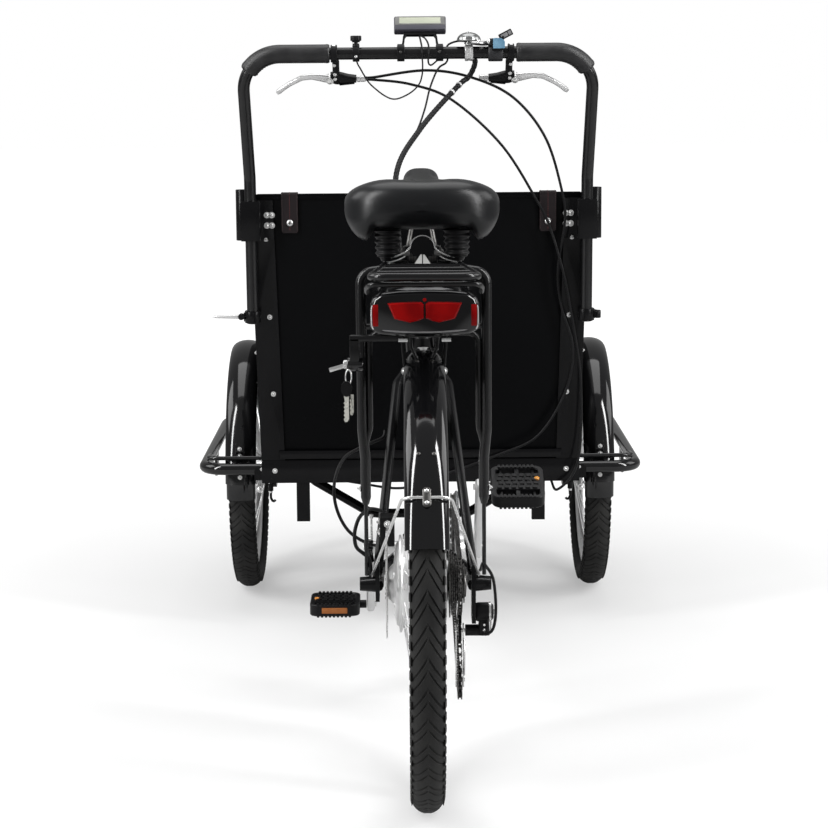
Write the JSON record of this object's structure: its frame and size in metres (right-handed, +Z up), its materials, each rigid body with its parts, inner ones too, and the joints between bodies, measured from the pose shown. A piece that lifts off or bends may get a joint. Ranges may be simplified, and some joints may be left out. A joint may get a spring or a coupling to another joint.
{
  "type": "electric cargo tricycle",
  "caption": "Electric cargo tricycle with an open box between its steered front wheels, a push-bar handlebar, a driven rear wheel, a rack battery and a sprung saddle.",
  "frame": {"origin": "middle of the bounding box's bottom, on the ground between the wheels", "axes": "+Y forward, +X to the rider's right, +Z up"},
  "size_m": [0.892, 2.203, 1.1777],
  "materials": {
    "black_paint": "satin black powder coat",
    "gloss_black": "gloss black paint",
    "box_panel": "black coated sheet",
    "tyre": "matt black tread",
    "rubber": "matt black",
    "steel": "bright steel",
    "aluminium": "satin",
    "black_plastic": "fine grain",
    "dark_steel": "dark oiled steel",
    "vinyl": "soft black cover",
    "leather": "dark brown leather",
    "red_lens": "clear red",
    "screen_plastic": "dark grey",
    "grey_plastic": "dark grey",
    "clear_plastic": "smoky clear"
  },
  "bodies": {
    "frame": {"rear_frame": "black_paint", "rack": "black_paint", "rear_mudguard": "gloss_black", "mudguard_stay": "aluminium", "brake_caliper": "black_plastic", "derailleur": "black_plastic", "shift_cable": "rubber", "rear_brake_cable": "rubber", "chain": "dark_steel"},
    "front": {"front_chassis": "black_paint", "box_shell": "box_panel", "box_wall_rear": "box_panel", "box_floor": "box_panel", "corner_post_left": "black_paint", "corner_post_right": "black_paint", "wheel_guard_left": "gloss_black", "wheel_guard_right": "gloss_black", "front_mudguard_left": "gloss_black", "front_mudguard_right": "gloss_black", "strap_left": "leather", "strap_right": "leather"},
    "left_wheel": {"front_tyre_left": "tyre", "front_wheel_left": "aluminium"},
    "right_wheel": {"front_tyre_right": "tyre", "front_wheel_right": "aluminium"},
    "bar": {"handlebar": "black_paint", "grip_left": "leather", "grip_right": "leather", "brake_mount_left": "black_plastic", "brake_mount_right": "black_plastic", "bell": "steel", "shifter": "grey_plastic", "button_mount": "black_plastic", "cable_bundle": "rubber", "brake_cable_left": "rubber", "brake_cable_right": "rubber"},
    "screen": {"display": "screen_plastic"},
    "striker": {"bell_striker": "steel"},
    "gear_lever": {"shift_lever": "black_plastic"},
    "knob": {"assist_button": "black_plastic"},
    "left_lever": {"brake_lever_left": "aluminium"},
    "right_lever": {"brake_lever_right": "aluminium"},
    "left_release": {"quick_release_left": "black_plastic"},
    "right_release": {"quick_release_right": "black_plastic"},
    "back_wheel": {"rear_tyre": "tyre", "rear_wheel": "aluminium", "brake_rotor": "steel"},
    "cogs": {"cassette": "dark_steel"},
    "crank_set": {"cranks": "aluminium", "chainring": "dark_steel", "chainguard": "clear_plastic"},
    "left_pedal": {"pedal_left": "black_plastic"},
    "right_pedal": {"pedal_right": "black_plastic"},
    "cage": {"derailleur_cage": "steel"},
    "battery_pack": {"battery": "black_plastic", "rear_light": "red_lens"},
    "key": {"battery_key": "black_plastic"},
    "seat": {"seat_post": "aluminium", "saddle": "vinyl", "saddle_frame": "rubber"}
  },
  "joints": [
    {"name": "steering", "type": "hinge", "parent": "frame", "child": "front", "pos_m": [0, 0.5715, 0.172], "axis": [0, 0, 1], "range_deg": [-28, 28], "deforming": ["cable_bundle"]},
    {"name": "left_wheel_spin", "type": "hinge", "parent": "front", "child": "left_wheel", "pos_m": [-0.36, 0.6815, 0.254], "axis": [1, 0, 0], "continuous": true},
    {"name": "right_wheel_spin", "type": "hinge", "parent": "front", "child": "right_wheel", "pos_m": [0.36, 0.6815, 0.254], "axis": [1, 0, 0], "continuous": true},
    {"name": "bar_height", "type": "slide", "parent": "front", "child": "bar", "axis": [0, -0.0607, 0.9982], "range_m": [-0.03, 0], "deforming": ["cable_bundle", "brake_cable_left", "brake_cable_right"]},
    {"name": "screen_tilt", "type": "hinge", "parent": "bar", "child": "screen", "pos_m": [0.004, 0.10718, 1.111], "axis": [1, 0, 0], "range_deg": [-25, 25]},
    {"name": "bell_flick", "type": "hinge", "parent": "bar", "child": "striker", "pos_m": [0.108, 0.08518, 1.1288], "axis": [0, 0, -1], "range_deg": [0, 25], "stiffness_Nm_per_rad": 0.05},
    {"name": "gear_shift", "type": "hinge", "parent": "bar", "child": "gear_lever", "pos_m": [0.144, 0.09037, 1.1265], "axis": [0, 1, 0], "range_deg": [0, 25], "stiffness_Nm_per_rad": 0.08},
    {"name": "assist_press", "type": "slide", "parent": "bar", "child": "knob", "axis": [0, 0, -1], "range_m": [0, 0.0015], "stiffness_N_per_m": 400},
    {"name": "left_brake", "type": "hinge", "parent": "bar", "child": "left_lever", "pos_m": [-0.1605, 0.13872, 1.06595], "axis": [0, 0.8191, 0.5736], "range_deg": [0, 16], "stiffness_Nm_per_rad": 0.6},
    {"name": "right_brake", "type": "hinge", "parent": "bar", "child": "right_lever", "pos_m": [0.1765, 0.13872, 1.06595], "axis": [0, -0.8191, -0.5736], "range_deg": [0, 16], "stiffness_Nm_per_rad": 0.6},
    {"name": "left_release_turn", "type": "hinge", "parent": "front", "child": "left_release", "pos_m": [-0.3351, 0.19793, 0.625], "axis": [0, 1, 0], "range_deg": [-75, 0]},
    {"name": "right_release_turn", "type": "hinge", "parent": "front", "child": "right_release", "pos_m": [0.3351, 0.19793, 0.625], "axis": [0, 0, -1], "range_deg": [0, 85]},
    {"name": "back_wheel_spin", "type": "hinge", "parent": "frame", "child": "back_wheel", "pos_m": [0, -0.7685, 0.333], "axis": [1, 0, 0], "continuous": true},
    {"name": "cogs_spin", "type": "hinge", "parent": "frame", "child": "cogs", "pos_m": [0, -0.7685, 0.333], "axis": [1, 0, 0], "continuous": true},
    {"name": "crank_spin", "type": "hinge", "parent": "frame", "child": "crank_set", "pos_m": [0, -0.3085, 0.288], "axis": [1, 0, 0], "continuous": true},
    {"name": "left_pedal_spin", "type": "hinge", "parent": "crank_set", "child": "left_pedal", "pos_m": [-0.1093, -0.19256, 0.16367], "axis": [1, 0, 0], "continuous": true},
    {"name": "right_pedal_spin", "type": "hinge", "parent": "crank_set", "child": "right_pedal", "pos_m": [0.1093, -0.42444, 0.41233], "axis": [1, 0, 0], "continuous": true},
    {"name": "cage_swing", "type": "hinge", "parent": "frame", "child": "cage", "pos_m": [0.05, -0.7565, 0.259], "axis": [1, 0, 0], "range_deg": [-10, 14], "stiffness_Nm_per_rad": 1.5, "deforming": ["chain"]},
    {"name": "battery_slide", "type": "slide", "parent": "frame", "child": "battery_pack", "axis": [0, -1, 0], "range_m": [0, 0.35]},
    {"name": "key_turn", "type": "hinge", "parent": "frame", "child": "key", "pos_m": [-0.108, -0.8885, 0.674], "axis": [1, 0, 0], "range_deg": [0, 90]},
    {"name": "seat_height", "type": "slide", "parent": "frame", "child": "seat", "axis": [0, -0.342, 0.9397], "range_m": [0, 0.08]}
  ],
  "couplings": [
    {"joint": "cogs_spin", "follows": "crank_spin", "ratio": 2.25}
  ]
}
